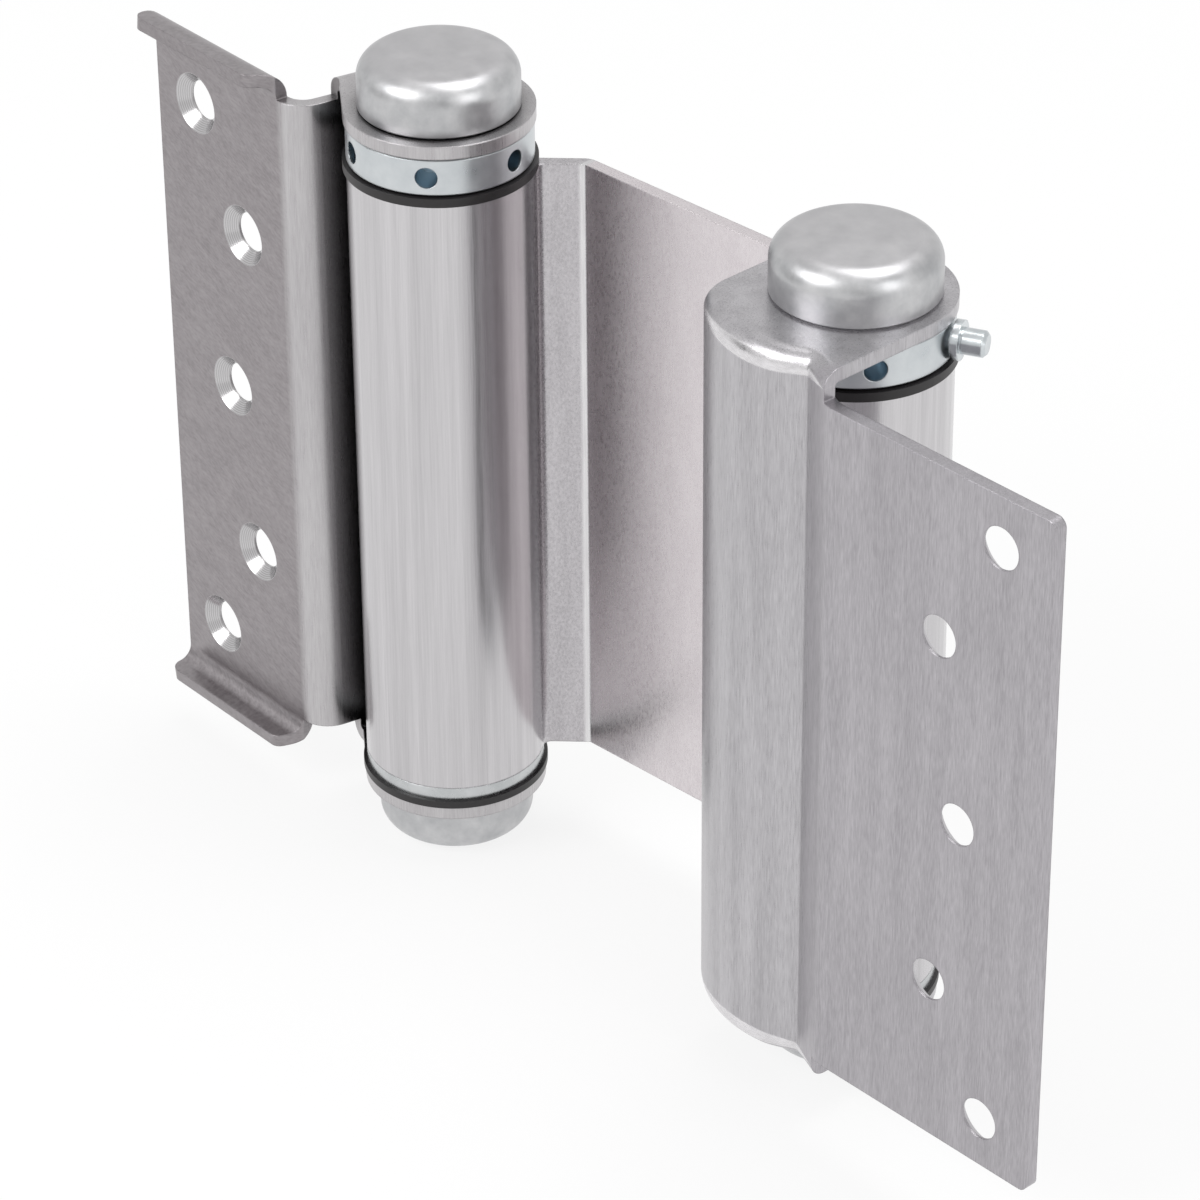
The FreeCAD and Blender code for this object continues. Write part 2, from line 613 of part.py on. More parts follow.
def door_leaf():
    body = new_body("door_leaf", "door")
    end_x = "sizes.shell_radius * sizes.end_sin"
    end_y = "-sizes.shell_radius * sizes.end_cos"
    end_back_x = "sizes.shell_back * sizes.end_sin"
    end_back_y = "-sizes.shell_back * sizes.end_cos"
    mitre_x = "sizes.valley_x + sizes.mitre_x"
    mitre_y = "sizes.valley_y + sizes.mitre_y"

    sketch = new_sketch(body, "leaf_section", "XY_Plane")
    outline(sketch, [
        ("-sizes.ear_radius", "-sqrt(pow(sizes.shell_radius; 2) - pow(sizes.ear_radius; 2))"),
        (end_x, end_y),
        ("sizes.valley_x", "sizes.valley_y"),
        ("sizes.rise_x", "-sizes.door_offset"),
        ("sizes.door_reach", "-sizes.door_offset"),
        ("sizes.door_reach", "-sizes.door_back"),
        ("sizes.rise_x + sizes.rise_mitre", "-sizes.door_back"),
        (mitre_x, mitre_y),
        (end_back_x, end_back_y),
        ("-sizes.ear_radius", "-sqrt(pow(sizes.shell_back; 2) - pow(sizes.ear_radius; 2))"),
    ], arcs={
        0: ("sizes.shell_radius", "0", "0", False),
        8: ("sizes.shell_back", "0", "0", True),
    }, free={0: "y", 1: "y", 8: "y", 9: "y"})
    new_pad(body, "leaf_sheet", sketch, "sizes.hinge_height", centred=True)

    bends = [
        ("shell_bend_outside", end_x, end_y, "sizes.shell_bend + sizes.gauge"),
        ("shell_bend_inside", end_back_x, end_back_y, "sizes.shell_bend"),
        ("valley_inside", "sizes.valley_x", "sizes.valley_y", "sizes.valley_bend"),
        ("valley_outside", mitre_x, mitre_y, "sizes.valley_bend + sizes.gauge"),
        ("rise_outside", "sizes.rise_x", "-sizes.door_offset", "sizes.rise_bend + sizes.gauge"),
        ("rise_inside", "sizes.rise_x + sizes.rise_mitre", "-sizes.door_back",
         "sizes.rise_bend"),
    ]
    for name, x, y, radius in bends:
        dress(body, "Fillet", name, upright_at((x, y)), radius)

    # beside the ears the sheet is cut down to the height of the flat
    sketch = new_sketch(body, "shoulder", "XZ_Plane")
    outline(sketch, [
        ("sizes.shoulder_x", "sizes.door_flat / 2"),
        ("sizes.door_reach + sizes.gauge", "sizes.door_flat / 2"),
        ("sizes.door_reach + sizes.gauge", "sizes.hinge_height"),
        ("sizes.shoulder_x", "sizes.hinge_height"),
    ])
    shoulder = new_pocket(body, "shoulder_cut", sketch, backwards=True)

    # the ear starts inside the thickness of the wall, so its front follows the wall's face
    sketch = new_sketch(body, "ear_outline", "XY_Plane", "sizes.ear_high")
    outline(sketch, [
        ("-sizes.ear_radius", "-sqrt(pow(sizes.shell_mid; 2) - pow(sizes.ear_radius; 2))"),
        ("sizes.shell_mid * sizes.end_sin", "-sizes.shell_mid * sizes.end_cos"),
        ("sizes.valley_x + sizes.mitre_x / 2", "sizes.valley_y + sizes.mitre_y / 2"),
        ("sizes.shoulder_x", "sizes.slope_y"),
        ("sizes.shoulder_x", "-sizes.ear_radius"),
        ("sizes.ear_radius", "0"),
        ("-sizes.ear_radius", "0"),
    ], arcs={
        0: ("sizes.shell_mid", "0", "0", False),
        5: ("sizes.ear_radius", "0", "0", False),
    }, free={0: "y", 1: "y", 5: "x", 6: "x"})
    ear = new_pad(body, "upper_ear", sketch, "sizes.gauge")
    mirror_down(body, [shoulder, ear])

    dress(body, "Fillet", "fold_outside", level_beyond("sizes.half_height", "-sizes.ear_radius"),
          "sizes.fold_outer")
    dress(body, "Fillet", "fold_inside", level_beyond("sizes.ear_high", "-sizes.ear_radius"),
          "sizes.fold_inner")
    dress(body, "Fillet", "leaf_corners", level_near(
        "sizes.door_flat / 2", "sizes.door_reach", "-sizes.door_offset + sizes.gauge / 2"),
        "sizes.door_corner")
    shaft_bore(body)
    screw_holes(body, "(sizes.door_reach - sizes", "sizes.door_back", True)


# Middle plate: one sheet whose two upright edges are rolled into the barrels


def middle_plate():
    body = new_body("middle_plate", "plate")
    sketch = new_sketch(body, "barrel_section", "XY_Plane", "sizes.tube_low")
    circle(sketch, "outside", "sizes.barrel_radius")
    circle(sketch, "inside", "sizes.bore_radius")
    circle(sketch, "far_outside", "sizes.barrel_radius", "sizes.axis_gap")
    circle(sketch, "far_inside", "sizes.bore_radius", "sizes.axis_gap")
    new_pad(body, "barrels", sketch, "sizes.tube_height")

    # the strips run straight into the barrels, square to them
    root_x = "sizes.bore_radius * sizes.strip_cos"
    root_y = "sizes.bore_radius * sizes.strip_sin"
    back_x = root_x + " - sizes.gauge * sizes.strip_sin"
    back_y = root_y + " + sizes.gauge * sizes.strip_cos"
    near = "sizes.plate_offset"
    far = "sizes.plate_offset + sizes.gauge"
    sketch = new_sketch(body, "plate_section", "XY_Plane", "sizes.tube_low")
    outline(sketch, [
        (root_x, root_y),
        ("sizes.strip_x", near),
        (mirrored("sizes.strip_x"), near),
        (mirrored(root_x), root_y),
        (mirrored(back_x), back_y),
        (mirrored("sizes.strip_x - sizes.strip_mitre"), far),
        ("sizes.strip_x - sizes.strip_mitre", far),
        (back_x, back_y),
    ])
    new_pad(body, "plate_sheet", sketch, "sizes.tube_height")
    inside = upright_at(("sizes.strip_x", near), (mirrored("sizes.strip_x"), near))
    dress(body, "Fillet", "bends_inside", inside, "sizes.plate_bend")
    outside = upright_at(
        ("sizes.strip_x - sizes.strip_mitre", far),
        (mirrored("sizes.strip_x - sizes.strip_mitre"), far))
    dress(body, "Fillet", "bends_outside", outside, "sizes.plate_bend + sizes.gauge")
    touch_x = "sizes.barrel_radius * sizes.strip_cos"
    touch_y = "sizes.barrel_radius * sizes.strip_sin"
    roots = upright_at((touch_x, touch_y), (mirrored(touch_x), touch_y))
    dress(body, "Fillet", "roots", roots, "sizes.root_bend")

    # seams: each barrel closes against the back of its own strip
    sketch = new_sketch(body, "seam_section", "XY_Plane", "sizes.tube_low")
    inner = "(sizes.bore_radius - sizes.seam_gap)"
    outer = "(sizes.barrel_radius + sizes.seam_gap)"
    slot = [
        strip_point(inner, "sizes.gauge"),
        strip_point(outer, "sizes.gauge"),
        strip_point(outer, "(sizes.gauge + sizes.seam_gap)"),
        strip_point(inner, "(sizes.gauge + sizes.seam_gap)"),
    ]
    outline(sketch, slot)
    new_pocket(body, "seam", sketch, "sizes.tube_height", backwards=True)
    sketch = new_sketch(body, "far_seam_section", "XY_Plane", "sizes.tube_low")
    outline(sketch, [(mirrored(x), y) for x, y in slot])
    new_pocket(body, "far_seam", sketch, "sizes.tube_height", backwards=True)


def mirrored(x):
    return "sizes.axis_gap - (%s)" % x


def strip_point(along, across):
    # a place measured along the strip from the barrel axis, and across it to the back
    x = "%s * sizes.strip_cos - %s * sizes.strip_sin" % (along, across)
    y = "%s * sizes.strip_sin + %s * sizes.strip_cos" % (along, across)
    return x, y


# Parts strung on the spindles


def spindle(label, site):
    body = new_body(label, site)
    sketch = new_sketch(body, "section", "XY_Plane")
    circle(sketch, "round", "sizes.shaft_radius")
    new_pad(body, "bar", sketch, "sizes.hinge_height + 2 * sizes.cap_seat", centred=True)


def tube(label, site, outer, inner, level, height):
    # washers and springs
    body = new_body(label, site)
    sketch = new_sketch(body, "section", "XY_Plane", level)
    circle(sketch, "outside", outer)
    circle(sketch, "inside", inner)
    new_pad(body, "sleeve", sketch, height)


def cap(label, site, side):
    # side is "1" on top and "-1" underneath
    body = new_body(label, site)

    def at_level(height):
        return "%s * (sizes.half_height + %s)" % (side, height)

    crown = "sizes.cap_height - sizes.cap_dome"
    sketch = new_sketch(body, "profile", "XZ_Plane")
    outline(sketch, [
        ("0", at_level("sizes.cap_seat")),
        ("sizes.shaft_hole", at_level("sizes.cap_seat")),
        ("sizes.shaft_hole", at_level("0")),
        ("sizes.cap_radius", at_level("0")),
        ("sizes.cap_radius", at_level(
            crown + " + sqrt(pow(sizes.cap_dome; 2) - pow(sizes.cap_radius; 2))")),
        ("0", at_level("sizes.cap_height")),
    ], arcs={
        4: ("sizes.cap_dome", "0", at_level(crown), side == "-1"),
    }, free={4: "y", 5: "y"})
    revolve(body, "dome", sketch)
    rim = ring_at("sizes.cap_radius", at_level("0"))
    shoulder_level = at_level(
        crown + " + sqrt(pow(sizes.cap_dome; 2) - pow(sizes.cap_radius; 2))")
    dress(body, "Fillet", "shoulder", ring_at("sizes.cap_radius", shoulder_level),
          "sizes.cap_shoulder")
    dress(body, "Chamfer", "rim", rim, "sizes.cap_rim")


def end_ring(label, site):
    body = new_body(label, site)
    top = "sizes.tube_low + sizes.plug_length"
    sketch = new_sketch(body, "profile", "XZ_Plane")
    outline(sketch, [
        ("sizes.shaft_hole", "sizes.ring_low"),
        ("sizes.barrel_radius", "sizes.ring_low"),
        ("sizes.barrel_radius", "sizes.tube_low"),
        ("sizes.plug_radius", "sizes.tube_low"),
        ("sizes.plug_radius", top),
        ("sizes.shaft_hole", top),
    ])
    revolve(body, "ring", sketch)


def collar(label, site, turn):
    body = new_body(label, site, turn)
    foot = "sizes.collar_low - sizes.plug_length"
    sketch = new_sketch(body, "profile", "XZ_Plane")
    outline(sketch, [
        ("sizes.shaft_hole", foot),
        ("sizes.plug_radius", foot),
        ("sizes.plug_radius", "sizes.collar_low"),
        ("sizes.barrel_radius", "sizes.collar_low"),
        ("sizes.barrel_radius", "sizes.collar_high"),
        ("sizes.shaft_hole", "sizes.collar_high"),
    ])
    revolve(body, "drum", sketch)
    for name, level in (("upper_edge", "sizes.collar_high"), ("lower_edge", "sizes.collar_low")):
        dress(body, "Chamfer", name, ring_at("sizes.barrel_radius", level), "sizes.collar_edge")

    # blind holes for the bar that winds the spring, and for the pin that holds it
    sketch = new_sketch(body, "bar_hole_place", "YZ_Plane", "sizes.bar_floor")
    circle(sketch, "hole", "sizes.bar_hole_radius", "0", "sizes.bar_level")
    hole = new_pocket(body, "bar_hole", sketch, backwards=True)
    before = body.Shape.Volume
    pattern = body.newObject("PartDesign::PolarPattern", "bar_hole_ring")
    pattern.Originals = [hole]
    pattern.Axis = (origin_item(body, "Z_Axis"), [""])
    pattern.Angle = 360
    pattern.setExpression("Occurrences", "round(sizes.bar_holes)")
    body.Tip = pattern
    doc.recompute()
    need_less(body, before, "bar_hole_ring")


def tension_pin():
    # it stands in the second hole of the collar over the door leaf
    body = new_body("tension_pin", "door", "sizes.door_collar_turn + sizes.bar_step")
    sketch = new_sketch(body, "profile", "XZ_Plane", shift="sizes.bar_level")
    outline(sketch, [
        ("sizes.bar_floor", "0"),
        ("sizes.pin_end", "0"),
        ("sizes.pin_end", "sizes.pin_grip_radius"),
        ("sizes.pin_flange_end", "sizes.pin_grip_radius"),
        ("sizes.pin_flange_end", "sizes.pin_flange_radius"),
        ("sizes.pin_flange_start", "sizes.pin_flange_radius"),
        ("sizes.pin_flange_start", "sizes.pin_radius"),
        ("sizes.bar_floor", "sizes.pin_radius"),
    ])
    revolve(body, "pin", sketch, axis="H_Axis")
    end_x = worked("sizes.pin_end")
    dress(body, "Chamfer", "pin_end_bevel",
          lambda edge: edge.BoundBox.XMin > end_x - 0.01 and edge.Curve.TypeId == "Part::GeomCircle",
          "sizes.pin_edge")


def build():
    fill_sheet()
    frame_leaf()
    door_leaf()
    middle_plate()
    for letter, leaf, barrel in (("a", "frame", "plate"), ("b", "door", "plate_end")):
        spindle("spindle_" + letter, leaf)
        cap("cap_upper_" + letter, leaf, "1")
        cap("cap_lower_" + letter, leaf, "-1")
        collar("collar_" + letter, leaf, "sizes.%s_collar_turn" % leaf)
        tube("washer_upper_" + letter, barrel, "sizes.washer_radius", "sizes.bore_radius",
             "sizes.tube_high", "sizes.upper_washer")
        tube("washer_lower_" + letter, barrel, "sizes.washer_radius", "sizes.shaft_clear",
             "sizes.washer_low", "sizes.lower_washer")
        end_ring("ring_" + letter, barrel)
        tube("spring_" + letter, barrel, "sizes.spring_radius",
             "sizes.spring_radius - sizes.spring_wall", "sizes.spring_low",
             "sizes.spring_height")
    tension_pin()
    doc.recompute()


def export():
    os.makedirs("parts", exist_ok=True)
    for item in doc.Objects:
        if "Invalid" in item.State or "Error" in item.State:
            raise RuntimeError(item.Name + " did not build")
    for item in doc.Objects:
        if item.TypeId != "PartDesign::Body":
            continue
        shape = item.Shape
        if shape.isNull() or not shape.isValid() or len(shape.Solids) != 1:
            raise RuntimeError(item.Label + " is not one sound solid")
        shape.exportStep("parts/" + item.Label + ".step")
        print("%-16s %10.1f mm3" % (item.Label, shape.Volume))


build()
export()
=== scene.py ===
# %% [markdown]
# Double action spring hinge: the looks
#
# The solids come ready made from the CAD model. They are in metres, Z runs up along the barrels,
# and they keep their shape and place. This script gives each of them the surface that the real
# one has, and sets up a small photo studio round them.

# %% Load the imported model
import json
import math
import bpy
from mathutils import Matrix, Vector


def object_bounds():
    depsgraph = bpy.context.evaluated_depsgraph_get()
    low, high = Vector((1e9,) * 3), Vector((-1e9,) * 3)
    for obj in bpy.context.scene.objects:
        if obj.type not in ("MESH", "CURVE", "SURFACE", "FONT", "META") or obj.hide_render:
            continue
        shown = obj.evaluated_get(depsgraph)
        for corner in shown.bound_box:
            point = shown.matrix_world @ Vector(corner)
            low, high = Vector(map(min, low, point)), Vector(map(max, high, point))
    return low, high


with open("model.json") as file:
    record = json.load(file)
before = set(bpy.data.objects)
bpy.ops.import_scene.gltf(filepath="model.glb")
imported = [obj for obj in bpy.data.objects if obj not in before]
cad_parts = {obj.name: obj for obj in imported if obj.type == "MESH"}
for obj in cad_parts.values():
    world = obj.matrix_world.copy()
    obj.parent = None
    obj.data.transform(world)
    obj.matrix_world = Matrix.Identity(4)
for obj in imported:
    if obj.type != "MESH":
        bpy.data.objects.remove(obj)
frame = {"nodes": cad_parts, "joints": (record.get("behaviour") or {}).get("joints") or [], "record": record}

cad_low, cad_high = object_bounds()
nodes = frame["nodes"]
print("nodes:", len(nodes), "box:", [round(v, 4) for v in (*cad_low, *cad_high)])

# %% [markdown]
# The two barrel axes
#
# Several finishes change with the distance from a barrel's axis: the drawn skin of a rolled
# barrel, the blue inside of a drilled hole. The axes could be typed in again, but they already
# stand in the model as the places of its two leaf hinges, so they are read from there. The barrels
# and their collars are 30 mm across.

# %% Find the barrel axes
joints = {joint["name"]: joint for joint in frame["joints"]}
axis_a = Vector(joints["frame_hinge"]["pos_m"])
axis_b = Vector(joints["door_hinge"]["pos_m"])
barrel_radius = 0.015
print("barrels stand at", axis_a[:2], "and", axis_b[:2])

# %% [markdown]
# The camera
#
# The picture looks down on the spread hinge from the side of the door leaf. Its photographer kept
# all upright edges parallel with a view camera, which takes a very large lens shift. That shift
# would push the hinge out of every other view, so a plain tilted camera with a long lens is used,
# and the uprights lean together a little. Its place and the point that it looks at were worked out
# from corners of the hinge, so both are plain coordinates.

# %% Place the camera
camera_data = bpy.data.cameras.new("camera")
camera = bpy.data.objects.new("camera", camera_data)
bpy.context.scene.collection.objects.link(camera)
bpy.context.scene.camera = camera
camera_place = Vector((0.6264, -0.4426, 0.4275))
camera_target = Vector((0.0913, 0.0064, -0.0059))
camera_roll = -0.47
camera_data.sensor_width = 36
camera_data.lens = 156
camera_data.clip_start = 0.05
camera_data.clip_end = 20
looking = (camera_target - camera_place).to_track_quat("-Z", "Y").to_matrix().to_4x4()
camera.matrix_world = (
    Matrix.Translation(camera_place) @ looking @ Matrix.Rotation(math.radians(camera_roll), 4, "Z"))
print("camera is", round((camera_target - camera_place).length, 3), "m from its target")

# %% [markdown]
# Colours and nodes
#
# Paint and metal colours are written as they look on a screen, in sRGB hex. Shaders work with
# linear light, so one function converts them. One more small function adds a shader node, sets
# it and links it; every material below is built with these two.

# %% Turn screen colours into linear ones


def linear(colour):
    channels = [int(colour[i:i + 2], 16) / 255 for i in (1, 3, 5)]
    return tuple(
        c / 12.92 if c <= 0.04045 else ((c + 0.055) / 1.055) ** 2.4 for c in channels) + (1.0,)


print("mid grey is", [round(v, 3) for v in linear("#808080")])

# %% Add nodes and give materials


def add_node(tree, kind, inputs=None, **settings):
    # inputs: socket name or number -> a value, or another node's output to link from
    made = tree.nodes.new(kind)
    for name, value in settings.items():
        setattr(made, name, value)
    for socket, value in (inputs or {}).items():
        if isinstance(value, bpy.types.NodeSocket):
            tree.links.new(value, made.inputs[socket])
        else:
            made.inputs[socket].default_value = value
    return made


def new_material(name):
    material = bpy.data.materials.new(name)
    material.use_nodes = True
    material.node_tree.nodes.clear()
    return material, material.node_tree


def give(material, *names):
    for name in names:
        for slot in nodes[name].material_slots:
            slot.material = material
    print(material.name, "->", ", ".join(names))


print("helpers: add_node, new_material, give")

# %% [markdown]
# The studio floor
#
# The picture shows the hinge on pure white. More light would bleach the metal, so the white is
# put into what the camera and the reflections see, while the light on the hinge stays plain. The
# floor keeps a part of its own shading, so that the hinge still throws a faint shadow: 82% of what
# shows is white.

# %% Make the floor
floor_gap = 0.0002
floor_half = 3
floor_white = 0.82
floor_level = cad_low.z - floor_gap
floor_mesh = bpy.data.meshes.new("floor")
floor_mesh.from_pydata([
    (x * floor_half, y * floor_half, floor_level)
    for x, y in ((-1, -1), (1, -1), (1, 1), (-1, 1))], [], [(0, 1, 2, 3)])
floor = bpy.data.objects.new("floor", floor_mesh)
bpy.context.scene.collection.objects.link(floor)

paper, tree = new_material("white_paper")
rays = add_node(tree, "ShaderNodeLightPath")
shown = add_node(tree, "ShaderNodeMath", {
    0: rays.outputs["Is Camera Ray"], 1: rays.outputs["Is Glossy Ray"]}, operation="MAXIMUM")
lit_share = add_node(tree, "ShaderNodeMath", {
    0: shown.outputs[0], 1: floor_white}, operation="MULTIPLY")
matt = add_node(tree, "ShaderNodeBsdfDiffuse", {"Color": linear("#F4F4F4")})
white = add_node(tree, "ShaderNodeEmission", {"Color": (1, 1, 1, 1), "Strength": 1.0})
mixed = add_node(tree, "ShaderNodeMixShader", {
    0: lit_share.outputs[0], 1: matt.outputs[0], 2: white.outputs[0]})
add_node(tree, "ShaderNodeOutputMaterial", {"Surface": mixed.outputs[0]})
floor_mesh.materials.append(paper)
print("floor at", round(floor_level, 4))

# %% [markdown]
# The white surround
#
# The world does two jobs. It lights the hinge softly from all sides, and it is the white that the
# camera sees behind it. A switch on the kind of ray keeps the two apart: the camera gets full
# white, the light on the hinge stays lower, and reflections get a little more than the light.

# %% Make the world
soft_light = 0.62
seen_white = 1.0
more_in_reflections = 0.2
world = bpy.data.worlds.new("studio")
bpy.context.scene.world = world
world.use_nodes = True
tree = world.node_tree
tree.nodes.clear()
rays = add_node(tree, "ShaderNodeLightPath")
seen = add_node(tree, "ShaderNodeMath", {
    0: rays.outputs["Is Camera Ray"], 1: rays.outputs["Is Transmission Ray"]}, operation="MAXIMUM")
level = add_node(tree, "ShaderNodeMapRange", {
    "Value": seen.outputs[0], "To Min": soft_light, "To Max": seen_white})
strength = add_node(tree, "ShaderNodeMath", {
    0: rays.outputs["Is Glossy Ray"], 1: more_in_reflections, 2: level.outputs[0]},
    operation="MULTIPLY_ADD")
surround = add_node(tree, "ShaderNodeBackground", {
    "Color": (1, 1, 1, 1), "Strength": strength.outputs[0]})
add_node(tree, "ShaderNodeOutputWorld", {"Surface": surround.outputs[0]})
bpy.context.scene.view_settings.view_transform = "Standard"
print("world lights at", soft_light, "and shows", seen_white)

# %% [markdown]
# Lamps and flags
#
# Bare metal shows its surroundings more than its own colour. A photographer therefore shapes it
# with large soft boxes, and with dark cards, called flags, that put the darker bands into round
# parts. Both are built here: area lamps for the soft boxes, and upright cards that the camera
# does not see but the metal does.

# %% Set the lamps


def aim(thing, place, target):
    thing.location = place
    thing.rotation_mode = "QUATERNION"
    thing.rotation_quaternion = (Vector(target) - Vector(place)).to_track_quat("-Z", "Y")


hinge_middle = (cad_low + cad_high) / 2
lamps = [
    # name, place, width, height, watts
    ("key_box", (-0.15, -1.15, 0.95), 0.9, 0.7, 9.0),
    ("side_box", (1.35, 0.1, 0.55), 0.5, 0.9, 3.0),
    ("top_box", (0.15, 0.35, 1.3), 0.9, 0.6, 6.0),
]
for name, place, width, height, power in lamps:
    lamp_data = bpy.data.lights.new(name, "AREA")
    lamp_data.shape = "RECTANGLE"
    lamp_data.size = width
    lamp_data.size_y = height
    lamp_data.energy = power
    lamp = bpy.data.objects.new(name, lamp_data)
    bpy.context.scene.collection.objects.link(lamp)
    aim(lamp, place, hinge_middle)
    print(name, "at", place, power, "W")

# %% Set the flags
card, tree = new_material("grey_card")
matt = add_node(tree, "ShaderNodeBsdfDiffuse", {"Color": linear("#303032")})
add_node(tree, "ShaderNodeOutputMaterial", {"Surface": matt.outputs[0]})
flags = [
    # name, place, width, height
    ("flag_right", (0.75, -0.42, 0.05), 0.12, 0.5),
    ("flag_left", (-0.35, -0.55, 0.05), 0.16, 0.5),
]
for name, place, width, height in flags:
    card_mesh = bpy.data.meshes.new(name)
    w, h = width / 2, height / 2
    card_mesh.from_pydata([(-w, -h, 0), (w, -h, 0), (w, h, 0), (-w, h, 0)], [], [(0, 1, 2, 3)])
    card_mesh.materials.append(card)
    flag = bpy.data.objects.new(name, card_mesh)
    bpy.context.scene.collection.objects.link(flag)
    aim(flag, place, (hinge_middle.x, hinge_middle.y, place[2]))
    flag.visible_camera = False
    flag.visible_shadow = False
    flag.visible_diffuse = False
    print(name, "at", place)

# %% [markdown]
# Stainless sheet
#
# The two leaves and the middle plate are cold rolled stainless sheet. The mill leaves a grey,
# slightly warm surface with a fine grain, softer than polish and sharper than paint. The grain
# could be a picture, but noise that is squeezed along one direction gives the same streaks at any
# distance. Two layers are laid over each other: the grain itself, and broader marks from the
# rollers or the die. The real grain is a few hundredths of a millimetre wide. That is too fine for
# the picture, so it is drawn at 0.2 to 0.4 mm, as coarse as it needs to be to show.

# %% Lay the grain of a steel skin


def grain_layers(tree, grain, broad, turn):
    # grain, broad: size in mm, length along X, Y and Z in times that size, share of the contrast
    place = add_node(tree, "ShaderNodeTexCoord")
    turned = add_node(tree, "ShaderNodeMapping", {
        "Vector": place.outputs["Object"], "Rotation": turn})
    total = 0.0
    for size_mm, lengths, share in (broad, grain):
        squeezed = add_node(tree, "ShaderNodeMapping", {
            "Vector": turned.outputs[0], "Scale": tuple(1000 / size_mm / n for n in lengths)})
        layer = add_node(tree, "ShaderNodeTexNoise", {
            "Vector": squeezed.outputs[0], "Scale": 1.0, "Detail": 3.0, "Roughness": 0.6})
        total = add_node(tree, "ShaderNodeMath", {
            0: layer.outputs[0], 1: share, 2: total}, operation="MULTIPLY_ADD").outputs[0]
    # the last layer is the grain alone; the total has the broad marks as well
    return layer.outputs[0], total


print("grain is ready")

# %% [markdown]
# Painted shade in crevices
#
# Where two sheets stand close together, metal sees only more metal, and the light there fades
# faster than the plain world light shows it. That shade is painted in: ambient occlusion measures
# how near other surfaces are, and a dark colour is mixed in by that, from any point of view.

# %% Paint shade into a crevice


def paint_crevice_shade(tree, shown, nearness):
    # nearness: how near, in metres, another surface has to be to darken this one
    openness = add_node(tree, "ShaderNodeAmbientOcclusion", {"Distance": nearness}, samples=8)
    cleared = add_node(tree, "ShaderNodeMapRange", {
        "Value": openness.outputs["AO"], "From Min": 0.3, "From Max": 0.8})
    # the dark colour #1C1A1B is painted shade, mixed in where other surfaces are near
    return add_node(tree, "ShaderNodeMix", {
        0: cleared.outputs[0], 6: linear("#1C1A1B"), 7: shown}, data_type="RGBA").outputs[2]


print("crevices are ready")

# %% [markdown]
# The skin itself
#
# The total of both layers chooses between a dark and a light tone. The fine grain alone drives
# how dull the steel is and how it is dented, because the eye reads dents from the finest marks. A
# bevel in the shader rounds the sheared edges, which makes them shine. Metal keeps its default
# index of refraction; tone, grain, roughness and relief are what changes from skin to skin.

# %% Make a skin of steel
steel_edge = 0.00035


def steel_skin(
        tree, dark, light, grain, broad, roughness, turn=(0, 0, 0), relief=0.00003, crevice=0):
    fine, total = grain_layers(tree, grain, broad, turn)
    amount = add_node(tree, "ShaderNodeMapRange", {
        "Value": total, "From Min": 0.36, "From Max": 0.64})
    shown = add_node(tree, "ShaderNodeMix", {
        0: amount.outputs[0], 6: linear(dark), 7: linear(light)}, data_type="RGBA").outputs[2]
    # crevice: painted shade where other surfaces are near; 0 paints none
    if crevice:
        shown = paint_crevice_shade(tree, shown, crevice)
    dull = add_node(tree, "ShaderNodeMapRange", {
        "Value": fine, "From Min": 0.3, "From Max": 0.7,
        "To Min": roughness - 0.04, "To Max": roughness + 0.05})
    rounded = add_node(tree, "ShaderNodeBevel", {"Radius": steel_edge}, samples=4)
    bumps = add_node(tree, "ShaderNodeBump", {
        "Height": fine, "Distance": relief, "Strength": 0.3, "Normal": rounded.outputs[0]})
    return add_node(tree, "ShaderNodeBsdfPrincipled", {
        "Base Color": shown, "Metallic": 1.0,
        "Roughness": dull.outputs[0], "Normal": bumps.outputs[0]}).outputs[0]


print("skin of steel is ready")

# %% [markdown]
# The frame leaf
#
# The flat of this leaf has a matt, slightly slanting mottle. Its long bend was pulled smooth over
# the tool, and its lighter tone is a painted highlight; it turns into the gap beside the barrel,
# which gets painted shade. The two skins are mixed by place, over the first 2 mm of the bend.

# %% Lay the two skins of the frame leaf
frame_steel, tree = new_material("stainless_frame_leaf")
rolled = steel_skin(
    tree, "#8E898B", "#A5A0A2", (0.24, (4, 4, 1.2), 0.65), (1.4, (2.5, 2.5, 1), 0.35), 0.36,
    turn=(0, math.radians(-22), 0))
# the bend's lighter tones are a painted highlight, and crevice adds painted shade beside the barrel
frame_bend_painted_highlight_and_shade = steel_skin(
    tree, "#B4B1B3", "#C6C4C5", (0.25, (1, 1, 16), 0.6), (2.5, (1, 1, 20), 0.4), 0.3,
    crevice=0.012)
bend_reach = 0.0245
bend_run = 0.002
bend_start = axis_a.x - bend_reach
place = add_node(tree, "ShaderNodeTexCoord")
apart = add_node(tree, "ShaderNodeSeparateXYZ", {0: place.outputs["Object"]})
on_bend = add_node(tree, "ShaderNodeMapRange", {
    "Value": apart.outputs["X"], "From Min": bend_start, "From Max": bend_start + bend_run})
surface = add_node(tree, "ShaderNodeMixShader", {0: on_bend.outputs[0], 1: rolled, 2: frame_bend_painted_highlight_and_shade})
print("bend of the frame leaf starts at", round(bend_start, 4))

# %% [markdown]
# The countersinks
#
# They were cut after rolling, so they are bright, with the rings that the cutter leaves. Their
# places are read from the model's own screw mounts, and the upper half serves for the lower one as
# well, because the holes are mirrored.

